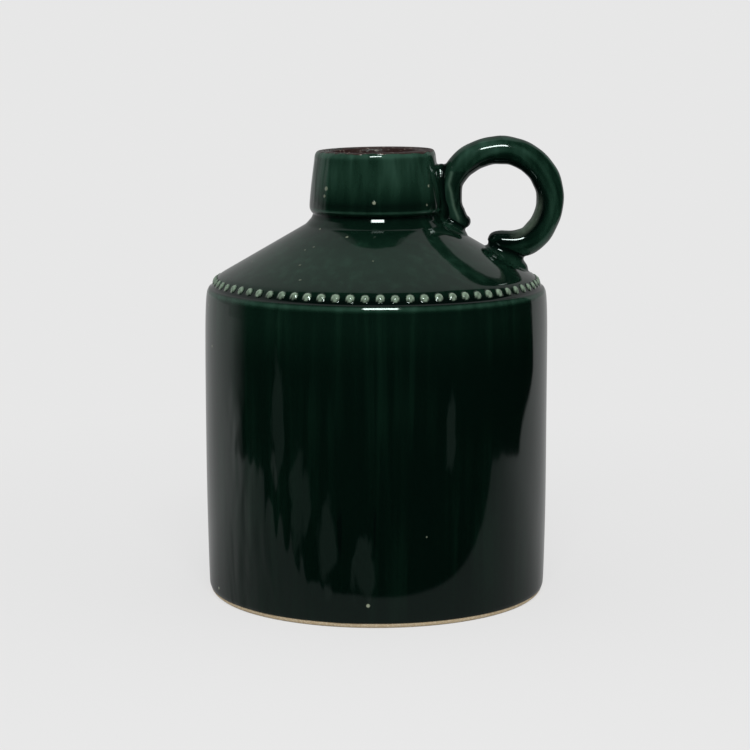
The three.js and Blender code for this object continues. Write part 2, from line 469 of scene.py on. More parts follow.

        # The brown mouth, with a ragged edge, and the brown inside; its cream specks are painted
        # glints, partly crawled glaze.
        edge = p.noise((0.005, 0.005, 0.005), 3, 0.5)
        away = (p.x**2 + p.y**2).math("SQRT")
        rim = (p.z + (edge - 0.5) * 0.0026).step(self.mouth - 0.0002, self.mouth + 0.0002)
        rim = rim * away.step(0.0336, 0.0330)
        inside = away.step(self.bore + 0.0003, self.bore) * (p.z > 0.15)
        rim = rim.math("MAXIMUM", inside)
        glints = p.noise((0.0016, 0.0016, 0.0009), 2).step(0.60, 0.70)
        brown = p.mix(glints * 0.45, self.brown, self.glint_cream)
        colour = p.mix(rim, colour, brown)

        # The surface: throwing, drips low on the left, the collar's ribs and the rough mouth.
        swell = p.noise((0.018, 0.018, 0.055), 2) * 0.32
        swell = swell + p.noise((0.0035, 0.0035, 0.009), 1) * 0.03
        drips = p.x.step(0.015, -0.03) * p.x.step(-0.080, -0.066) * p.z.step(0.125, 0.09)
        drips = drips * p.noise((0.010, 0.010, 0.05), 1, 0.4)
        ribs = p.z.step(0.198, 0.203) * p.noise((0.0045, 0.0045, 0.03), 1)
        ribs = ribs * away.step(0.0365, 0.036)
        height = swell + drips * 3.2 + ribs * 0.8 - specks * 0.25 + raised
        height = height + rim * p.noise((0.0014, 0.0014, 0.0014), 2) * 0.9
        rough = self.roughness + clouds * 0.03 + rim * 0.33 + specks * 0.1
        more = {"IOR": self.gloss, "Specular Tint": self.sheen}
        return p.surface(colour, rough, height, (0.35, 0.0012), **more)


@dataclass(frozen=True)
class BareClay:
    """Unglazed buff stoneware with sand in it, a stained edge next to the glaze and a painted
    shadow along the bottom.
    """

    buff: Colour = (0.50, 0.39, 0.24, 1)
    sand: Colour = (0.62, 0.53, 0.38, 1)
    stain_and_shadow: Colour = (0.10, 0.07, 0.035, 1)

    def material(self) -> bpy.types.Material:
        """Builds the clay's material."""
        p = Paint("bare_clay")
        grain = p.noise((0.0011, 0.0011, 0.0011), 3)
        clouds = p.noise((0.02, 0.02, 0.004), 2)
        colour = p.mix(grain.step(0.35, 0.75), self.buff, self.sand)
        ragged = p.z + (clouds - 0.5) * 0.0012
        colour = p.mix(ragged.step(0.0021, 0.0027) * 0.8, colour, self.stain_and_shadow)
        # The darker line along the very bottom is a painted shadow under the foot's rounded edge.
        colour = p.mix(ragged.step(0.0007, 0.0002) * 0.55, colour, self.stain_and_shadow)
        return p.surface(colour, grain * 0.2 + 0.75, grain, (0.5, 0.0004))


class Finish(Enum):
    """The finishes that a piece can have."""

    GREEN = "green_glaze"
    CLAY = "bare_clay"


# ------------------------------------------------------------------------------- the jug's form


@dataclass(frozen=True)
class Hands:
    """What the potter's hands leave: a body that isn't quite round and a mouth that isn't level."""

    lobes: tuple[tuple[int, float, float, float], ...] = (
        (2, 0.10 * MM, 0.7, 14.0),
        (3, 0.07 * MM, 2.1, -31.0),
        (5, 0.035 * MM, 0.4, 47.0),
    )
    throwing: float = 0.002 * MM
    tilt: float = 0.016
    tilt_from: float = 205 * MM
    tilt_over: float = 22 * MM
    lean: float = -0.7 * MM

    def swell(self, angle: np.ndarray, height: np.ndarray) -> np.ndarray:
        """Works out how far the wall stands out of round.

        Args:
            angle: direction round the axis, in radians.
            height: height above the foot, in metres.

        Returns:
            The shift away from the axis, in metres.
        """
        total = self.throwing * np.sin(height * 900)
        for count, amount, turn, twist in self.lobes:
            total = total + amount * np.sin(count * angle + turn + twist * height)
        return total

    def lift(self, across: np.ndarray, height: np.ndarray) -> np.ndarray:
        """Works out how far the tilted mouth is lifted, in metres."""
        t = np.clip((height - self.tilt_from) / self.tilt_over, 0, 1)
        return across * self.tilt * t * t * (3 - 2 * t)

    def shift(self, height: np.ndarray) -> np.ndarray:
        """Works out how far the neck leans over at a height, in metres."""
        t = np.clip((height - 190 * MM) / (38 * MM), 0, 1)
        return self.lean * t * t * (3 - 2 * t)

    def warp(self, points: np.ndarray) -> np.ndarray:
        """Moves points of a true turned shape to where the hands left them.

        Args:
            points: N by 3 places.

        Returns:
            The moved places.
        """
        x, y, z = points.T
        radius = np.hypot(x, y)
        share = np.clip(radius / (20 * MM), 0, 1)
        grown = (radius + self.swell(np.arctan2(y, x), z) * share) / np.maximum(radius, 1e-9)
        return np.stack([x * grown + self.shift(z), y * grown, z + self.lift(x, z)], 1)

    def straighten(self, points: np.ndarray) -> tuple[np.ndarray, np.ndarray]:
        """Gives the radius and height that points would have on the true turned shape."""
        x, y, z = points.T
        height = z - self.lift(x, z)
        x = x - self.shift(height)
        return np.hypot(x, y) - self.swell(np.arctan2(y, x), height), height


@dataclass(frozen=True)
class Spot:
    """A place on the outline where the glaze runs thinner or gathers; some places where it gathers
    also carry painted shade.
    """

    radius: float
    height: float
    width: float
    amount: float


@dataclass
class Outline:
    """The outside of the turned jug as radius, height and softness of each corner, in mm."""

    corners: tuple[tuple[float, float, float], ...] = (
        (87.2, 2.7, 0.25),
        (87.75, 4.2, 0.6),
        (87.95, 10, 2),
        (88.2, 20, 4),
        (88.55, 40, 6),
        (88.72, 62, 8),
        (88.72, 120, 8),
        (88.6, 140, 4),
        (88.3, 150, 2.5),
        (87.95, 155, 1.2),
        (87.5, 157.7, 0.25),
        (86.8, 159.2, 0.3),
        (86.3, 159.75, 0.3),
        (85.7, 159.9, 0.5),
        (84.7, 161.0, 0.6),
        (81.5, 165.4, 1.3),
        (36.6, 191.55, 0.7),
        (33.6, 194.9, 0.3),
        (32.6, 197.2, 0.35),
        (33.5, 198.0, 0.4),
        (34.35, 199.6, 0.6),
        (34.45, 201.6, 1.1),
        (33.5, 210, 2),
        (32.1, 220, 2),
        (31.35, 225, 1.0),
        (31.15, 227.9, 1.1),
        (30.0, 229.5, 0.5),
        (28.9, 229.75, 0.4),
        (25.0, 229.7, 0.5),
        (23.3, 229.0, 0.45),
        (23.0, 227.2, 0.3),
        (23.0, 223.656, 0.3),
    )
    step: float = 0.3
    thin_and_lit: tuple[Spot, ...] = (
        Spot(87.25, 158.3, 1.6, 0.62),
        Spot(88.6, 150.0, 17.0, 0.12),
        Spot(60.5, 177.5, 34.0, 0.30),
        Spot(34.4, 199.8, 0.9, 0.55),
        Spot(31.0, 228.4, 2.6, 0.85),
        Spot(32.0, 221.0, 17.0, 0.44),
    )
    # Glaze gathers in these grooves; in the groove under the collar's ledge the darkness is also
    # painted shade.
    pool: tuple[Spot, ...] = (
        Spot(85.7, 160.0, 1.2, 1.0),
        Spot(32.6, 197.2, 1.3, 1.0),
        Spot(34.1, 203.2, 1.4, 0.5),
    )
    points: np.ndarray = field(init=False)

    def __post_init__(self) -> None:
        """Draws the outline through its corners and softens each of them."""
        corners = np.array(self.corners)
        run = np.concatenate([[0], np.cumsum(np.hypot(*np.diff(corners[:, :2], axis=0).T))])
        along = np.arange(0, run[-1], self.step / 2)
        raw = np.stack([np.interp(along, run, corners[:, i]) for i in range(3)], 1)
        keep = raw[::2].copy()
        for i, (place, soft) in enumerate(zip(along[::2], raw[::2, 2])):
            near = np.abs(along - place) < 4 * soft
            weight = np.exp(-0.5 * ((along[near] - place) / soft) ** 2)
            keep[i, :2] = (raw[near, :2] * weight[:, None]).sum(0) / weight.sum()
        keep[0, :2], keep[-1, :2] = corners[0, :2], corners[-1, :2]
        self.points = self.thinned(keep[:, :2])

    @staticmethod
    def thinned(points: np.ndarray, slack: float = 0.004, longest: float = 3.0) -> np.ndarray:
        """Leaves out the points that a nearly straight run doesn't need.

        Args:
            points: N by 2 points of the outline, in mm.
            slack: how far the outline may shift, in mm.
            longest: the longest step that is left, in mm.

        Returns:
            The points that stay.
        """
        kept = [0]
        for i in range(2, len(points)):
            start, end = points[kept[-1]], points[i]
            along = end - start
            between = points[kept[-1] + 1 : i] - start
            off = np.abs(along[0] * between[:, 1] - along[1] * between[:, 0]) / np.hypot(*along)
            if off.max() > slack or np.hypot(*along) > longest:
                kept.append(i - 1)
        return points[[*kept, len(points) - 1]]

    def nearest(self, radius: float, height: float) -> int:
        """Returns the number of the outline's point that is nearest to a place in mm."""
        return int(np.argmin(np.hypot(*(self.points - (radius, height)).T)))

    def marks(self, points: np.ndarray, spots: Sequence[Spot]) -> np.ndarray:
        """Works out how strong the spots are along a run of points.

        Args:
            points: N by 2, radius and height in mm.
            spots: the places and their amounts.

        Returns:
            N numbers from 0 to 1.
        """
        total = np.zeros(len(points))
        for s in spots:
            away = np.hypot(points[:, 0] - s.radius, points[:, 1] - s.height) / s.width
            total = np.maximum(total, s.amount * np.exp(-(away**2)))
        return total


# ------------------------------------------------------------------------------- turning


class TurningTree:
    """The Geometry Nodes tree that turns an outline round the Z axis and raises beads on it."""

    SIZES = (
        ("Segments", "NodeSocketInt"),
        ("Bead count", "NodeSocketInt"),
        ("Bead radius", "NodeSocketFloat"),
        ("Bead height", "NodeSocketFloat"),
        ("First bead", "NodeSocketFloat"),
        ("Unevenness", "NodeSocketFloat"),
        ("Seed", "NodeSocketInt"),
        ("Finish", "NodeSocketMaterial"),
    )
    CARRIED = ("thin_and_lit", "pool", "across")

    def __init__(self) -> None:
        """Builds the tree."""
        self.tree = bpy.data.node_groups.new("turned_clay", "GeometryNodeTree")
        face = self.tree.interface
        face.new_socket("Outline", in_out="INPUT", socket_type="NodeSocketGeometry")
        for name, kind in self.SIZES:
            face.new_socket(name, in_out="INPUT", socket_type=kind)
        face.new_socket("Piece", in_out="OUTPUT", socket_type="NodeSocketGeometry")
        g = Graph(self.tree)
        given = g.node("NodeGroupInput")
        outline = given.outputs["Outline"]
        segments = g.out(given, "Segments")
        count = g.node("GeometryNodeAttributeDomainSize", {"component": "MESH"}, {0: outline})
        columns = segments + 1
        grid = g.node(
            "GeometryNodeMeshGrid",
            None,
            {"Vertices X": count.outputs["Point Count"], "Vertices Y": columns},
        )
        index = g.node("GeometryNodeInputIndex").outputs[0]
        kind, parts = "FunctionNodeIntegerMath", {0: index, 1: columns}
        row = g.node(kind, {"operation": "DIVIDE_FLOOR"}, parts)
        column = g.node(kind, {"operation": "MODULO"}, parts)
        turn = g.out(column) * math.tau / segments

        def carried(name: str | None) -> bpy.types.NodeSocket:
            """Reads the outline's place, or a number it carries, at this row."""
            kind = "FLOAT" if name else "FLOAT_VECTOR"
            if name:
                settings = {"data_type": kind}
                source = g.node("GeometryNodeInputNamedAttribute", settings, {"Name": name})
            else:
                source = g.node("GeometryNodeInputPosition")
            inputs = {"Geometry": outline, "Value": source.outputs[0], "Index": row.outputs[0]}
            settings = {"data_type": kind, "domain": "POINT"}
            return g.node("GeometryNodeSampleIndex", settings, inputs).outputs[0]

        place = g.node("ShaderNodeSeparateXYZ", None, {0: carried(None)})
        radius, height = g.out(place, 0), g.out(place, 2)
        corner = g.node(
            "ShaderNodeCombineXYZ",
            None,
            {0: radius * turn.math("COSINE"), 1: radius * turn.math("SINE"), 2: height},
        )
        places = {0: grid.outputs[0], "Position": corner.outputs[0]}
        body = g.node("GeometryNodeSetPosition", None, places).outputs[0]
        for name in self.CARRIED:
            body = self.keep(g, body, name, carried(name))
        body = self.keep(g, body, "turn", turn)
        body = g.node("GeometryNodeMergeByDistance", None, {0: body, "Distance": 2e-6}).outputs[0]
        body = g.node("GeometryNodeFlipFaces", None, {0: body}).outputs[0]
        body = self.beads(g, given, body)
        bend = g.out(g.node("GeometryNodeInputMeshEdgeAngle"), "Unsigned Angle") > 0.6
        kind = "GeometryNodeSetShadeSmooth"
        soft = g.node(kind, {"domain": "FACE"}, {0: body, "Shade Smooth": True})
        edges = {0: soft.outputs[0], "Selection": bend, "Shade Smooth": False}
        crisp = g.node(kind, {"domain": "EDGE"}, edges)
        real = g.node("GeometryNodeRealizeInstances", None, {0: crisp.outputs[0]})
        inputs = {0: real.outputs[0], "Material": given.outputs["Finish"]}
        dressed = g.node("GeometryNodeSetMaterial", None, inputs)
        g.node("NodeGroupOutput", None, {0: dressed.outputs[0]})

    def keep(
        self, g: Graph, body: bpy.types.NodeSocket, name: str, value: Any
    ) -> bpy.types.NodeSocket:
        """Stores a number on the mesh.

        Args:
            g: the tree.
            body: the geometry.
            name: the number's name.
            value: its socket or value.

        Returns:
            The geometry that carries it.
        """
        settings = {"data_type": "FLOAT", "domain": "POINT"}
        inputs = {0: body, "Name": name, "Value": value}
        return g.node("GeometryNodeStoreNamedAttribute", settings, inputs).outputs[0]

    def beads(
        self, g: Graph, given: bpy.types.Node, body: bpy.types.NodeSocket
    ) -> bpy.types.NodeSocket:
        """Raises a row of round beads along the line where the outline's across is 0.

        Args:
            g: the tree.
            given: the tree's inputs.
            body: the turned geometry.

        Returns:
            The geometry with its beads.
        """

        def read(name: str) -> Signal:
            """Reads a number that the mesh carries."""
            node = g.node("GeometryNodeInputNamedAttribute", {"data_type": "FLOAT"}, {"Name": name})
            return g.out(node)

        place = g.node("GeometryNodeInputPosition").outputs[0]
        parts = g.node("ShaderNodeSeparateXYZ", None, {0: place})
        radius = (g.out(parts, 0) ** 2 + g.out(parts, 1) ** 2).math("SQRT")
        pitch = math.tau / g.out(given, "Bead count")
        turns = (read("turn") - g.out(given, "First bead")) / pitch
        number = turns.math("ROUND")
        seat = number.math("FLOORED_MODULO", g.out(given, "Bead count"))
        settings = {"data_type": "FLOAT_VECTOR"}
        spread = g.out(given, "Unevenness")
        low = g.node("ShaderNodeCombineXYZ", None, {0: spread * -1, 1: spread * -1, 2: spread * -1})
        high = g.node("ShaderNodeCombineXYZ", None, {0: spread, 1: spread, 2: spread})
        inputs = {
            "Min": low.outputs[0],
            "Max": high.outputs[0],
            "ID": seat,
            "Seed": given.outputs["Seed"],
        }
        uneven = g.node("FunctionNodeRandomValue", settings, inputs)
        shift = g.node("ShaderNodeSeparateXYZ", None, {0: uneven.outputs[0]})
        size = g.out(given, "Bead radius")
        sideways = (turns - number) * pitch * radius + g.out(shift, 0) * size
        upwards = read("across") + g.out(shift, 1) * size
        away = (sideways**2 + upwards**2).math("SQRT") / (size * (1 + g.out(shift, 2)))
        dome = (1 - away**2.6).math("SMOOTH_MAX", 0.0, 0.35)
        # Thin glaze makes each bead pale; the darker middle of its crown is a painted reflection.
        crown = dome.step(0.2, 0.6) * (1 - dome.step(0.9, 1.0) * 0.45)
        body = self.keep(g, body, "pale", crown)
        normal = g.node("GeometryNodeInputNormal").outputs[0]
        rise = dome * g.out(given, "Bead height")
        offset = g.node(
            "ShaderNodeVectorMath", {"operation": "SCALE"}, {0: normal, "Scale": rise}
        ).outputs[0]
        return g.node("GeometryNodeSetPosition", None, {0: body, "Offset": offset}).outputs[0]


@dataclass
class Beads:
    """A row of beads: how many, how big and how evenly set."""

    count: int = 72
    radius: float = 2.35 * MM
    height: float = 1.15 * MM
    first: float = math.radians(1.2)
    unevenness: float = 0.055


class Workshop:
    """Makes meshes and puts pieces in the scene."""

    def __init__(self, hands: Hands) -> None:
        """Prepares the finishes and the turning tree.

        Args:
            hands: the unevenness that every turned piece shares.
        """
        self.hands = hands
        self.tree = TurningTree().tree
        self.finishes = {
            Finish.GREEN: GreenGlaze().material(),
            Finish.CLAY: BareClay().material(),
        }

    def turned(
        self,
        name: str,
        points: np.ndarray,
        numbers: Mapping[str, np.ndarray],
        finish: Finish,
        segments: int = 360,
        beads: Beads | None = None,
    ) -> bpy.types.Object:
        """Turns an outline into a closed piece.

        Args:
            name: the piece's name.
            points: N by 2, radius and height in mm, closed or from axis to axis.
            numbers: what each point of the outline carries.
            finish: the piece's finish.
            segments: steps round the axis.
            beads: the row of beads on it, if it has one.

        Returns:
            The piece.
        """
        mesh = bpy.data.meshes.new(name + "_outline")
        places = [(r * MM, 0.0, z * MM) for r, z in points]
        mesh.from_pydata(places, [(i, i + 1) for i in range(len(places) - 1)], [])
        for key in TurningTree.CARRIED:
            values = numbers.get(key, np.full(len(points), 1.0 if key == "across" else 0.0))
            mesh.attributes.new(key, "FLOAT", "POINT").data.foreach_set("value", values)
        source = placed(name + "_outline", mesh)
        modifier = source.modifiers.new("turning", "NODES")
        modifier.node_group = self.tree
        row = beads or Beads(height=0.0)
        sizes = {
            "Segments": segments,
            "Bead count": row.count,
            "Bead radius": row.radius,
            "Bead height": row.height,
            "First bead": row.first,
            "Unevenness": row.unevenness,
            "Seed": 5,
            "Finish": self.finishes[finish],
        }
        for item in self.tree.interface.items_tree:
            if item.in_out == "INPUT" and item.name in sizes:
                modifier[item.identifier] = sizes[item.name]
        shaped = source.evaluated_get(bpy.context.evaluated_depsgraph_get())
        made = bpy.data.meshes.new_from_object(shaped)
        bpy.data.objects.remove(source)
        made.name = name
        co = np.zeros(len(made.vertices) * 3)
        made.vertices.foreach_get("co", co)
        made.vertices.foreach_set("co", self.hands.warp(co.reshape(-1, 3)).ravel())
        made.update()
        return placed(name, made)

    def seat(self, piece: bpy.types.Object, slot: str, *nodes: str) -> None:
        """Makes a piece stand for its CAD nodes on the jug's body.

        Args:
            piece: the piece.
            slot: not used.
            nodes: the nodes that it stands for.
        """
        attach(piece, "root")
        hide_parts(*nodes)
        LOG.info("%s: %d faces", piece.name, len(piece.data.polygons))


@dataclass
class Turnery:
    """The turned pieces: base, wall, shoulder with its beads, collar and lip."""

    workshop: Workshop
    outline: Outline
    wall_inside: float = 82.5
    seat_radius: float = 84.0
    seat_height: float = 156.0
    lip_height: float = 159.9
    base_top: float = 9.0
    root: tuple[float, float] = (32.45, 194.956)
    spigot_radius: float = 27.75
    spigot_top: float = 199.456
    bore: float = 23.0
    tongue: tuple[float, float] = (27.1, 225.456)
    tongue_depth: float = 1.8
    bead_line: tuple[float, float] = (83.6, 162.6)

    def cut(self, start: tuple[float, float], end: tuple[float, float]) -> np.ndarray:
        """Takes the stretch of the outline between two places in mm."""
        first, last = self.outline.nearest(*start), self.outline.nearest(*end)
        return self.outline.points[first : last + 1]

    def piece(
        self,
        name: str,
        slot: str,
        node: str,
        outside: np.ndarray,
        hidden: Sequence[tuple[float, float]],
        beads: Beads | None = None,
        segments: int = 360,
        glaze: bool = True,
    ) -> None:
        """Makes one turned piece from its outside and its hidden faces.

        Args:
            name: the piece's name.
            slot: a material slot's name, which is passed on to seat.
            node: the CAD node that it stands for.
            outside: the stretch of outline that shows.
            hidden: corners of the faces that close it, in mm.
            beads: the row of beads on it, if it has one.
            segments: steps round the axis.
            glaze: False for bare clay.
        """
        corners = [tuple(outside[-1]), *hidden]
        if outside[0][0] > 1e-6:
            corners.append(tuple(outside[0]))
        inner = []
        for a, b in zip(np.array(corners), np.array(corners[1:])):
            steps = max(1, int(math.dist(a, b) / 4))
            inner += [a + (b - a) * (i + 1) / steps for i in range(steps)]
        points = np.concatenate([outside, np.array(inner)])
        numbers = {
            "thin_and_lit": self.outline.marks(points, self.outline.thin_and_lit),
            "pool": self.outline.marks(points, self.outline.pool),
        }
        if beads:
            run = np.concatenate([[0], np.cumsum(np.hypot(*np.diff(points, axis=0).T))])
            middle = int(np.argmin(np.hypot(*(points - self.bead_line).T)))
            across = (run - run[middle]) * MM
            across[len(outside) :] = 1.0
            numbers["across"] = across
            band = np.interp(across / MM, (-4.4, -3.8, -0.8, 1.0), (0.0, 0.92, 0.9, 0.0))
            numbers["pool"] = np.maximum(band, numbers["pool"])
        finish = Finish.GREEN if glaze else Finish.CLAY
        made = self.workshop.turned(name, points, numbers, finish, segments, beads)
        self.workshop.seat(made, slot, node)

    def build(self) -> None:
        """Makes all the turned pieces, from the foot up."""
        groove, cone, seam = (85.6, 159.95), (80.6, 165.95), (31.3, 225.456)
        foot = [(0, 0), (20, 0), (50, 0), (84.6, 0)]
        foot += [(85.4, 0.15), (86.3, 0.9), (86.9, 1.8), (87.05, 2.7)]
        wall = self.cut((87.2, 2.7), groove)
        strip = self.cut(groove, cone)
        shoulder = self.cut(cone, self.root)
        collar = self.cut(self.root, seam)
        lip = self.cut(seam, (self.bore, 223.656))
        low = self.tongue[1] - self.tongue_depth
        self.piece(
            "foot_clay",
            "bare_clay",
            "base_disc",
            np.array(foot),
            [(self.wall_inside, 2.7), (self.wall_inside, self.base_top), (0, self.base_top)],
            glaze=False,
        )
        inside = [(self.seat_radius, self.lip_height), (self.seat_radius, self.seat_height)]
        inside += [(self.wall_inside, self.seat_height), (self.wall_inside, 2.7)]
        self.piece("wall_glazed", "green_glaze", "body_wall", wall, inside)
        behind = [(79.4, 164.9), (self.seat_radius, 159.95)]
        self.piece("bead_row", "pale_green_glaze", "bead_band", strip, behind, Beads(), 1440)
        under = [(self.spigot_radius, self.root[1]), (self.spigot_radius, self.spigot_top)]
        under += [(self.bore, self.spigot_top), (self.bore, 192.02), (78.5, 159.7)]
        under += [(self.wall_inside, self.seat_height), (self.seat_radius, self.seat_height)]
        under += [(self.seat_radius, 159.9), (79.3, 164.8)]
        self.piece("shoulder_glazed", "green_glaze", "shoulder", shoulder, under)
        within = [self.tongue, (self.tongue[0], low), (self.bore, low)]
        within += [(self.bore, self.spigot_top), (self.spigot_radius, self.spigot_top)]
        within += [(self.spigot_radius, self.root[1])]
        self.piece("collar_glazed", "green_glaze", "neck_collar", collar, within)
        beside = [(self.tongue[0], low), self.tongue]
        self.piece("mouth_glazed", "brown_glaze", "mouth_lip", lip, beside)


# ------------------------------------------------------------------------------- the handle


def joined(first: np.ndarray, second: np.ndarray, reach: float) -> np.ndarray:
    """Joins two distance fields with a fillet.

    Args:
        first: distances to the first shape.
        second: distances to the second.
        reach: how far apart the two may be and still be joined.

    Returns:
        Distances to the joined shape.
    """
    near = np.maximum(reach - np.abs(first - second), 0) / reach
    return np.minimum(first, second) - near * near * reach / 4


@dataclass
class Coil:
    """The rolled coil: its centreline from the outer end round to the toe, in mm.

    Each point is a place from the ring's centre, the half-thickness in the ring's plane and the
    half-thickness across it.
    """

    centre: tuple[float, float] = (64.7, 203.4)
    line: tuple[tuple[float, float, float, float], ...] = (
        (-10.0, -19.0, 5.6, 6.6),
        (-4.6, -20.6, 5.9, 6.8),
        (0.8, -21.4, 6.2, 7.0),
        (6.7, -21.8, 6.7, 7.2),
        (12.6, -20.9, 7.3, 7.3),
        (18.7, -15.9, 7.3, 7.2),
        (23.0, -8.4, 7.1, 7.1),
        (24.8, 0.0, 7.06, 7.1),
        (23.7, 8.6, 7.2, 7.1),
        (19.5, 16.4, 7.26, 7.1),
        (12.85, 22.3, 7.25, 7.2),
        (4.5, 25.7, 7.3, 7.2),
        (-4.55, 26.0, 7.25, 7.3),
        (-13.5, 23.4, 7.1, 7.3),
        (-21.6, 17.6, 6.9, 7.3),
        (-25.6, 10.0, 5.9, 7.3),
        (-26.0, 2.0, 5.4, 7.2),
        (-24.9, -5.0, 5.5, 7.0),
        (-22.3, -8.6, 5.2, 6.6),
        (-19.4, -10.5, 3.4, 5.6),
    )
    face: tuple[float, float, float] = (57.0, 184.2, 8.0)
    samples: int = 150
    blunt: float = 9.5
    curve: np.ndarray = field(init=False)

    def __post_init__(self) -> None:
        """Draws a smooth centreline through the points."""
        knots = np.array(self.line)
        run = np.concatenate([[0], np.cumsum(np.hypot(*np.diff(knots[:, :2], axis=0).T))])
        along = np.linspace(0, run[-1], self.samples)
        shape = np.stack([self.spline(run, knots[:, i], along) for i in range(4)], 1)
        shape[:, 0] += self.centre[0]
        shape[:, 1] += self.centre[1]
        self.curve = shape * MM

    @staticmethod
    def spline(run: np.ndarray, values: np.ndarray, along: np.ndarray) -> np.ndarray:
        """Runs a natural cubic spline through values.

        Args:
            run: where the values are.
            values: the values.
            along: where to read the spline.

        Returns:
            The spline at each place.
        """
        gaps = np.diff(run)
        count = len(run)
        system, right = np.eye(count), np.zeros(count)
        for i in range(1, count - 1):
            system[i, i - 1 : i + 2] = gaps[i - 1], 2 * (gaps[i - 1] + gaps[i]), gaps[i]
            rise = (values[i + 1] - values[i]) / gaps[i] - (values[i] - values[i - 1]) / gaps[i - 1]
            right[i] = 6 * rise
        bend = np.linalg.solve(system, right)
        at = np.clip(np.searchsorted(run, along) - 1, 0, count - 2)
        a, b, gap = run[at + 1] - along, along - run[at], gaps[at]
        return (
            (bend[at] * a**3 + bend[at + 1] * b**3) / (6 * gap)
            + (values[at] / gap - bend[at] * gap / 6) * a
            + (values[at + 1] / gap - bend[at + 1] * gap / 6) * b
        )

    def distance(self, points: np.ndarray) -> np.ndarray:
        """Measures how far points are from the coil's skin, in metres."""
        result = np.empty(len(points))
        start, end = self.curve[:-1], self.curve[1:]
        step = end[:, :2] - start[:, :2]
        square = (step**2).sum(1)
        for first in range(0, len(points), 20000):
            p = points[first : first + 20000]
            dx, dz = p[:, 0, None] - start[:, 0], p[:, 2, None] - start[:, 1]
            t = np.clip((dx * step[:, 0] + dz * step[:, 1]) / square, 0, 1)
            away = np.hypot(dx - t * step[:, 0], dz - t * step[:, 1])
            best = away.argmin(1)
            rows = np.arange(len(p))
            t, flat = t[rows, best], away[rows, best]
            half = start[best, 2:] + (end[best, 2:] - start[best, 2:]) * t[:, None]
            place = (best + t) / (len(self.curve) - 1)
            dent = 1 + 0.016 * np.sin(place * 41) * np.sin(place * 23 + 1.3)
            dent += 0.010 * np.sin(place * 95 + np.sign(p[:, 1]) * 0.6)
            in_plane, across = half[:, 0] * dent, half[:, 1]
            reach = np.hypot(flat / in_plane, p[:, 1] / across)
            scale = np.hypot(flat / in_plane**2, p[:, 1] / across**2) / np.maximum(reach, 1e-6)
            result[first : first + 20000] = (reach - 1) / np.maximum(scale, 1e-6)
        lean = math.radians(self.face[2])
        beyond = (self.face[0] * MM - points[:, 0]) * math.cos(lean)
        beyond += (self.face[1] * MM - points[:, 2]) * math.sin(lean)
        past_toe = (points[:, 0] - 49.5 * MM) * 0.79 > (points[:, 2] - 188.5 * MM) * 0.61
        low = points[:, 2] < 195 * MM
        cut = -joined(-result, -beyond, self.blunt * MM)
        return np.where(past_toe & low, cut, result)


@dataclass
class Pad:
    """A lump of slip: where it is, its half-widths along, across and square to the slope, in mm."""

    place: tuple[float, float]
    halves: Place
    lean: float = 0.0

    def distance(self, points: np.ndarray) -> np.ndarray:
        """Measures roughly how far points are from the lump, in metres."""
        x = points[:, 0] - self.place[0] * MM
        z = points[:, 2] - self.place[1] * MM
        c, s = math.cos(self.lean), math.sin(self.lean)
        local = np.stack([x * c - z * s, points[:, 1], x * s + z * c], 1)
        halves = np.array(self.halves) * MM
        reach = np.linalg.norm(local / halves, axis=1)
        slope = np.linalg.norm(local / halves**2, axis=1) / np.maximum(reach, 1e-6)
        return (reach - 1) / np.maximum(slope, 1e-6)


@dataclass
class Joint:
    """Slip that fixes the coil in one place, in mm: its node, lumps, fillet, room and grid box."""

    node: str
    pads: tuple[Pad, ...]
    reach: float
    room: Pad
    box: tuple[Place, Place]


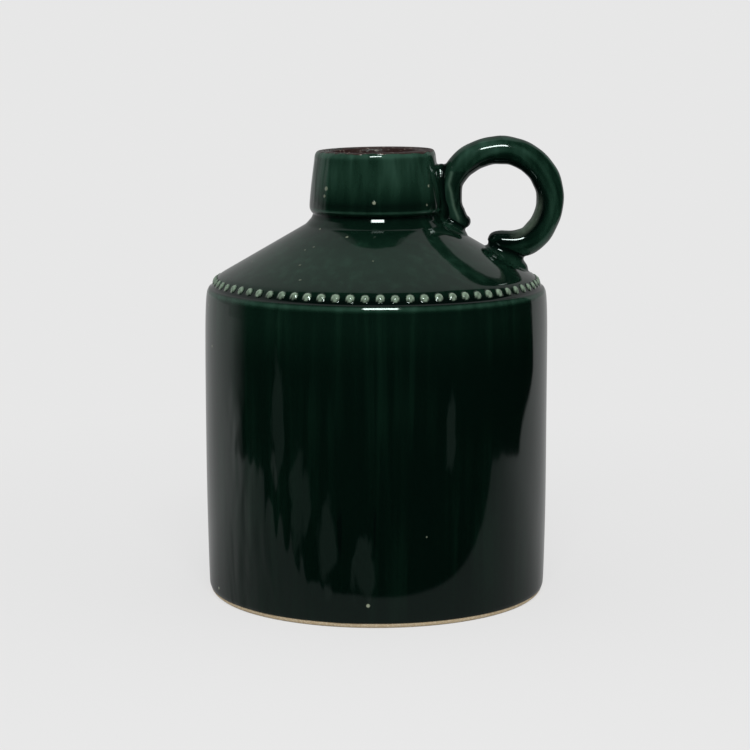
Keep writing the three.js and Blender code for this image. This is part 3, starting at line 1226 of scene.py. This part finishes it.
@dataclass
class Handle:
    """The ring handle: the coil, and the slip under its toe, under its heel and by the collar."""

    workshop: Workshop
    outline: Outline
    coil: Coil = field(default_factory=Coil)
    grid: float = 0.5 * MM
    sunk: float = 0.12 * MM
    skin: float = 1.6 * MM
    smoothing: int = 7
    middle: float = 26.4
    fold: tuple[tuple[float, ...], tuple[float, ...]] = (
        (194.4, 201.3, 207.4, 212.6, 217.9),
        (42.2, 39.6, 38.4, 37.1, 38.4),
    )
    joints: tuple[Joint, ...] = (
        Joint(
            "toe_slip",
            (Pad((39.2, 190.3), (8.6, 10.2, 2.3), SHOULDER_SLOPE),),
            2.6,
            Pad((41, 191), (15.5, 15, 11), SHOULDER_SLOPE),
            ((23, -18, 172), (60, 18, 206)),
        ),
        Joint(
            "heel_slip",
            (Pad((67.6, 173.6), (11.8, 9.0, 4.0), math.radians(26)),),
            3.6,
            Pad((69, 175.5), (19, 16, 13), SHOULDER_SLOPE),
            ((47, -18, 156), (91, 18, 194)),
        ),
        Joint(
            "collar_slip",
            (Pad((33.2, 209.3), (3.0, 3.2, 13.6)), Pad((34.6, 198.5), (2.6, 5.6, 5.0))),
            3.0,
            Pad((36, 210), (9, 12, 19)),
            ((25, -14, 188), (47, 14, 231)),
        ),
    )

    def jug(self, points: np.ndarray) -> np.ndarray:
        """Measures how far points are from the jug's outside, in metres; inside it is negative."""
        radius, height = self.workshop.hands.straighten(points)
        near = self.outline.points * MM
        near = near[(near[:, 1] > 150 * MM) & (near[:, 0] > 27 * MM)]
        start, step = near[:-1], np.diff(near, axis=0)
        square = (step**2).sum(1)
        result = np.empty(len(points))
        for first in range(0, len(points), 20000):
            rows = slice(first, first + 20000)
            dr, dz = radius[rows, None] - start[:, 0], height[rows, None] - start[:, 1]
            t = np.clip((dr * step[:, 0] + dz * step[:, 1]) / square, 0, 1)
            er, ez = dr - t * step[:, 0], dz - t * step[:, 1]
            away = er * er + ez * ez
            best = away.argmin(1)
            pick = np.arange(len(best)), best
            side = step[best, 1] * er[pick] - step[best, 0] * ez[pick]
            result[rows] = np.sqrt(away[pick]) * np.where(side < 0, -1, 1)
        return result

    @staticmethod
    def sampled(shape: Field, nodes: np.ndarray, skip: int = 4, margin: float = 1.6) -> np.ndarray:
        """Reads a field on a grid, closely only where its skin may be.

        Args:
            shape: the distance field.
            nodes: the grid's places.
            skip: how many steps lie between the coarse samples.
            margin: how many coarse steps from the skin the field is read closely.

        Returns:
            The field on the grid.
        """
        coarse = nodes[::skip, ::skip, ::skip]
        rough = shape(coarse.reshape(-1, 3)).reshape(coarse.shape[:3])
        pick = [np.minimum((np.arange(n) + skip // 2) // skip, m - 1)
                for n, m in zip(nodes.shape, rough.shape)]
        value = rough[np.ix_(*pick)]
        reach = margin * skip * abs(nodes[1, 0, 0, 0] - nodes[0, 0, 0, 0])
        near = np.abs(value) < reach
        value[near] = shape(nodes[near])
        return value

    def net(self, value: np.ndarray, low: np.ndarray) -> tuple[np.ndarray, np.ndarray]:
        """Lays a net of quads over the skin of a field.

        Args:
            value: the field on the grid, negative inside.
            low: the grid's lowest corner, in metres.

        Returns:
            The net's points and its faces.
        """
        size, inside = value.shape, value < 0
        total = np.zeros((*(n - 1 for n in size), 3))
        hits = np.zeros(total.shape[:3])
        for a in np.ndindex(2, 2, 2):
            for axis in range(3):
                if a[axis]:
                    continue
                b = [1 if i == axis else a[i] for i in range(3)]
                va = value[tuple(slice(s, n - 1 + s) for s, n in zip(a, size))]
                vb = value[tuple(slice(s, n - 1 + s) for s, n in zip(b, size))]
                crossed = (va < 0) != (vb < 0)
                t = np.where(crossed, va / np.where(crossed, va - vb, 1), 0)
                for i in range(3):
                    total[..., i] += crossed * (a[i] + (b[i] - a[i]) * t)
                hits += crossed
        used = hits > 0
        number = np.full(used.shape, -1)
        number[used] = np.arange(used.sum())
        places = low + (np.argwhere(used) + total[used] / hits[used][:, None]) * self.grid
        quads = []
        for axis in range(3):
            u, v = (axis + 1) % 3, (axis + 2) % 3
            lower = [slice(1, n - 1) for n in size]
            lower[axis] = slice(0, size[axis] - 1)
            upper = list(lower)
            upper[axis] = slice(1, size[axis])
            a, b = inside[tuple(lower)], inside[tuple(upper)]
            for flip, chosen in ((False, a & ~b), (True, ~a & b)):
                at = np.argwhere(chosen) + np.array([0 if i == axis else 1 for i in range(3)])
                around = []
                for du, dv in ((-1, -1), (0, -1), (0, 0), (-1, 0)):
                    shift = np.zeros(3, int)
                    shift[u], shift[v] = du, dv
                    around.append(number[tuple((at + shift).T)])
                quads.append(np.stack(around[::-1] if flip else around, 1))
        return places, np.concatenate(quads)

    def settle(
        self, shape: Field, places: np.ndarray, faces: np.ndarray, rounds: int
    ) -> np.ndarray:
        """Pulls a net's points onto the skin, then evens them out.

        Args:
            shape: the distance field.
            places: the net's points.
            faces: its faces.
            rounds: how many times each point moves towards its neighbours' middle.

        Returns:
            The moved points.
        """
        step, limit = 0.05 * MM, 0.4 * self.grid
        for _ in range(2):
            here = shape(places)
            slope = np.stack([(shape(places + d) - here) / step for d in np.eye(3) * step], 1)
            push = here / np.maximum((slope**2).sum(1), 0.2)
            places = places - np.clip(push, -limit, limit)[:, None] * slope
        pairs = np.concatenate([faces[:, (i, (i + 1) % 4)] for i in range(4)])
        count = np.bincount(pairs[:, 0], minlength=len(places))[:, None]
        for _ in range(rounds):
            total = np.zeros_like(places)
            np.add.at(total, pairs[:, 0], places[pairs[:, 1]])
            places = places * 0.5 + total / count * 0.5
        return places

    def slip_glaze(self, places: np.ndarray) -> dict[str, np.ndarray]:
        """Works out where the glaze on the slip is thinner, gathered or pale, with painted shade in
        the crease by the coil.
        """
        # Glaze gathered in the crease by the coil, darkened further as painted shade.
        crease = np.maximum(self.coil.distance(places), 0) / (2.1 * MM)
        even = np.ones(len(places))
        return {"pool": np.exp(-(crease**2)), "thin_and_lit": even * 0.3, "pale": even * 0}

    def coil_glaze(self, places: np.ndarray) -> dict[str, np.ndarray]:
        """Works out where the glaze on the coil is thinner, gathered or pale, and where light,
        shade and a reflection are painted on it.

        Args:
            places: the coil's points.

        Returns:
            The numbers that its points carry.
        """
        x, y, z = places.T / MM
        centre = self.coil.centre
        outward = np.hypot(x - centre[0], z - centre[1]) - self.middle
        turn, roll = np.arctan2(z - centre[1], x - centre[0]), np.arctan2(y, outward)

        # Glaze gathers inside the ring and in the crease by the jug; there it is also darkened as
        # painted shade, most on the ring's inner side.
        inner = np.clip((-1.5 - outward) / 4.5, 0, 1)
        inner = np.where((x > 50) & (z < 192), inner * 0.45, inner)
        crease = np.maximum(self.jug(places), 0) / (1.6 * MM)
        pool = np.maximum(inner * inner * (3 - 2 * inner) * 0.85, np.exp(-(crease**2)))

        # Streaks run along the coil. A pale line above the toe is a painted highlight along the
        # fold; the toe is paler before it and painted shade lies beyond it.
        grain = np.sin(3.1 * roll + 1.4 * np.sin(2 * turn + 0.5)) * 0.5
        grain += np.sin(7.3 * roll - 2.2 * np.sin(1.7 * turn) + 1.0) * 0.3
        grain += np.sin(13.0 * roll + 3.1 * np.sin(2.9 * turn)) * 0.2
        past, toe = x - np.interp(z, *self.fold), (x < 49) & (z < 219)
        line = np.where(toe, np.exp(-((past / 0.7) ** 2)), 0) * np.interp(z, (190, 196), (0, 1))
        # Painted light from above makes the ring's outer side lighter and its inner side darker.
        thin_and_lit = 0.34 + 0.18 * np.clip(outward / 6, -1, 1) + 0.25 * grain
        thin_and_lit = np.where(toe & (past < 0), 0.50 + 0.25 * grain, thin_and_lit) + 0.5 * line
        shade = np.where(toe & (past > 0) & (z > 197), np.clip(past / 2.6, 0, 1) * 0.5, 0)
        pool = np.maximum(pool, shade) * (1 - 0.9 * line)

        # A painted reflection makes the ring's inner edge pale low on the right, and the fold's
        # painted highlight adds to it.
        lower = np.interp(np.degrees(turn), (-80, -55, -10, 15), (0, 1, 1, 0))
        painted_reflection = np.clip((-5.3 - outward) / 1.9, 0, 1) * lower * 0.26 + line * 0.16
        return {"pool": pool, "thin_and_lit": thin_and_lit, "pale": painted_reflection}

    def draw(
        self, name: str, shape: Field, box: tuple[Place, Place], slip: bool
    ) -> bpy.types.Mesh:
        """Draws the skin of a distance field as a closed mesh of quads.

        Args:
            name: the mesh's name.
            shape: gives the distance at N by 3 points, negative inside.
            box: lowest and highest corner of the grid, in mm.
            slip: True for slip, which is smoothed more than the coil.

        Returns:
            The mesh.
        """
        low, high = np.array(box) * MM
        axes = [np.arange(a, b + self.grid, self.grid) for a, b in zip(low, high)]
        value = self.sampled(shape, np.stack(np.meshgrid(*axes, indexing="ij"), -1))
        if slip:
            for axis in range(3):
                value = value / 2 + (np.roll(value, 1, axis) + np.roll(value, -1, axis)) / 4
        places, faces = self.net(value, low)
        places = self.settle(shape, places, faces, self.smoothing if slip else 1)
        mesh = bpy.data.meshes.new(name)
        mesh.from_pydata(places.tolist(), [], faces.tolist())
        mesh.validate()
        mesh.polygons.foreach_set("use_smooth", np.ones(len(mesh.polygons), bool))
        numbers = self.slip_glaze(places) if slip else self.coil_glaze(places)
        for key, values in numbers.items():
            mesh.attributes.new(key, "FLOAT", "POINT").data.foreach_set("value", values)
        mesh.materials.append(self.workshop.finishes[Finish.GREEN])
        return mesh

    def slip(self, joint: Joint) -> Field:
        """Makes the distance field of the slip that joins coil and jug in one place.

        Args:
            joint: the place and its lumps of slip.

        Returns:
            The field.
        """

        def shape(points: np.ndarray) -> np.ndarray:
            """Gives the distance to the slip."""
            jug, coil = self.jug(points), self.coil.distance(points)
            whole = jug + self.sunk
            for pad in joint.pads:
                whole = joined(whole, pad.distance(points), 0.75 * joint.reach * MM)
            whole = joined(whole, coil + self.sunk, joint.reach * MM)
            whole = np.maximum(whole, joint.room.distance(points))
            return np.maximum(whole, -(jug + self.skin))

        return shape

    def build(self) -> None:
        """Makes the coil and its three joints."""
        coil = self.draw("handle_ring", self.coil.distance, ((31, -9, 174), (99, 9, 239)), False)
        self.workshop.seat(placed("handle_ring", coil), "green_glaze", "handle_coil")
        for joint in self.joints:
            name = joint.node + "_glazed"
            mesh = self.draw(name, self.slip(joint), joint.box, True)
            self.workshop.seat(placed(name, mesh), "green_glaze", joint.node)


# ------------------------------------------------------------------------------- the studio


@dataclass
class Studio:
    """A pale table before a dark room, one soft box in front and a pale surround."""

    pale: float = 0.80
    surround: float = 0.31
    ambient: float = 0.72
    table_gloss: tuple[float, float] = (0.19, 0.42)
    table_front: float = -0.138
    table_reach: float = 0.462
    room_left: tuple[float, float] = (-90.0, -114.0)
    room_right: tuple[float, float] = (101.0, 103.5)
    room_flare: float = 22.0
    dark: float = 0.004
    screen_rows: tuple[tuple[float, float], ...] = ((1.9, -0.6), (1.9, 1.55), (0.06, 1.75))
    back_wall: tuple[Place, Place] = ((-0.17, 2.0, 0.49), (0.17, 2.0, 1.3))
    table_half: float = 40.0
    key_place: tuple[float, float, float] = (0.04, -0.95, 0.97)
    key_size: tuple[float, float] = (0.43, 0.17)
    key_power: float = 7.0
    eye: tuple[float, float, float] = (-0.0007, -1.159, 0.297)
    pitch: float = math.radians(9.04)
    lens: float = 108.0

    def beyond_room(self, p: Paint) -> Signal:
        """Returns 1 in directions that are outside the dark room, with a soft left side."""
        turn = p.x.math("ARCTAN2", p.y * -1)
        away = (p.x**2 + p.y**2).math("SQRT")
        sides = (self.room_left, self.room_right)
        left, right = ([math.radians(v) for v in side] for side in sides)
        wider = away.step(0.44, 0.85) * math.radians(self.room_flare)
        return turn.step(*left).math("MAXIMUM", (turn - wider).step(*right))

    def floor(self) -> None:
        """Lays the table, which is pale to the eye and ends in front for reflections."""
        p = Paint("table_top")
        ray = p.node("ShaderNodeLightPath")
        seen, mirrored = p.out(ray, "Is Camera Ray"), p.out(ray, "Is Glossy Ray")
        away = (p.x**2 + p.y**2).math("SQRT")
        near = away.step(0.55, 0.16)
        lit = p.node("ShaderNodeBsdfDiffuse", None, {"Color": (0.8, 0.8, 0.8, 1)})
        glow = p.glow(self.pale)

        def between(factor: Signal, first: bpy.types.Node, second: bpy.types.Node) -> Any:
            """Mixes two shaders."""
            inputs = {0: factor, 1: first.outputs[0], 2: second.outputs[0]}
            return p.node("ShaderNodeMixShader", None, inputs)

        here = between(seen, lit, between(near * 0.2, glow, lit))
        line = p.y - p.x * 0.06
        front = line.step(self.table_front - 0.004, self.table_front + 0.004)
        wavy = away + (p.noise((0.10, 0.10, 1.0), 1) - 0.5) * 0.05
        top = wavy.step(self.table_reach + 0.006, self.table_reach - 0.006)
        low, high = self.table_gloss
        level = p.y.step(-0.13, 0.13) * (high - low) + low
        edge = front * top.math("MAXIMUM", self.beyond_room(p))
        sheen = p.glow(edge * level)
        material = p.finish(between(mirrored, here, sheen))
        mesh = bpy.data.meshes.new("table")
        s = self.table_half
        mesh.from_pydata([(-s, -s, 0), (s, -s, 0), (s, s, 0), (-s, s, 0)], [], [(0, 1, 2, 3)])
        mesh.materials.append(material)
        placed("table", mesh)

    def dark_room(self) -> None:
        """Hangs the dark screen that the jug's front mirrors and the dark wall far behind it."""
        p = Paint("dark_screen")
        level = self.beyond_room(p) * self.surround + self.dark
        material = p.finish(p.glow(level))
        left = math.radians(self.room_left[1])
        right = math.radians(self.room_right[1] + self.room_flare)
        steps = 48
        width = steps + 1
        angles = [left + (right - left) * i / steps for i in range(width)]
        rows = self.screen_rows
        points = [(r * math.sin(a), -r * math.cos(a), z) for r, z in rows for a in angles]
        starts = [r + i for r in (0, width) for i in range(steps)]
        faces = [(i, i + 1, i + 1 + width, i + width) for i in starts]
        (x0, y, z0), (x1, _, z1) = self.back_wall
        back = [(x0, y, z0), (x1, y, z0), (x1, y, z1), (x0, y, z1)]
        faces.append(tuple(range(len(points), len(points) + 4)))
        mesh = bpy.data.meshes.new("dark_screen")
        mesh.from_pydata(points + back, [], faces)
        mesh.materials.append(material)
        wall = Paint("dark_wall")
        mesh.materials.append(wall.finish(wall.glow(self.dark * 4)))
        mesh.polygons[-1].material_index = 1
        screen = placed("dark_screen", mesh)
        screen.visible_camera = screen.visible_diffuse = screen.visible_shadow = False

    def surroundings(self) -> None:
        """Sets the world: pale to the eye, and a soft grey for light and reflections."""
        world = bpy.data.worlds.new("surround")
        bpy.context.scene.world = world
        world.use_nodes = True
        world.node_tree.nodes.clear()
        g = Graph(world.node_tree)
        ray = g.node("ShaderNodeLightPath")
        seen, mirrored = g.out(ray, "Is Camera Ray"), g.out(ray, "Is Glossy Ray")
        level = seen * (self.pale - self.ambient) + mirrored * (self.surround - self.ambient)
        colour = g.mix(level + self.ambient, BLACK, WHITE)
        shade = g.node("ShaderNodeBackground", None, {"Color": colour})
        g.node("ShaderNodeOutputWorld", None, {0: shade.outputs[0]})

    def lights(self) -> None:
        """Hangs the soft box."""
        lamp = bpy.data.lights.new("soft_box", "AREA")
        lamp.shape = "RECTANGLE"
        lamp.size, lamp.size_y = self.key_size
        lamp.energy = self.key_power
        box = placed("soft_box", lamp)
        x, y, z = self.key_place
        box.location = self.key_place
        box.rotation_euler = (math.atan2(math.hypot(x, y), z - 0.17), 0, math.atan2(x, -y))

    def camera(self) -> None:
        """Places the camera."""
        data = bpy.data.cameras.new("camera")
        data.lens, data.sensor_width = self.lens, 36.0
        data.clip_start, data.clip_end = 0.05, 30
        camera = placed("camera", data)
        camera.location = self.eye
        camera.rotation_euler = (math.pi / 2 - self.pitch, 0, 0)
        bpy.context.scene.camera = camera

    def build(self) -> None:
        """Sets up the whole studio."""
        bpy.context.scene.view_settings.view_transform = "Standard"
        self.floor()
        self.dark_room()
        self.surroundings()
        self.lights()
        self.camera()


def main() -> None:
    """Builds the jug and its studio."""
    logging.basicConfig(level=logging.INFO, format="%(name)s: %(message)s")
    workshop = Workshop(Hands())
    outline = Outline()
    Turnery(workshop, outline).build()
    Handle(workshop, outline).build()
    Studio().build()


if __name__ == "__main__":
    main()
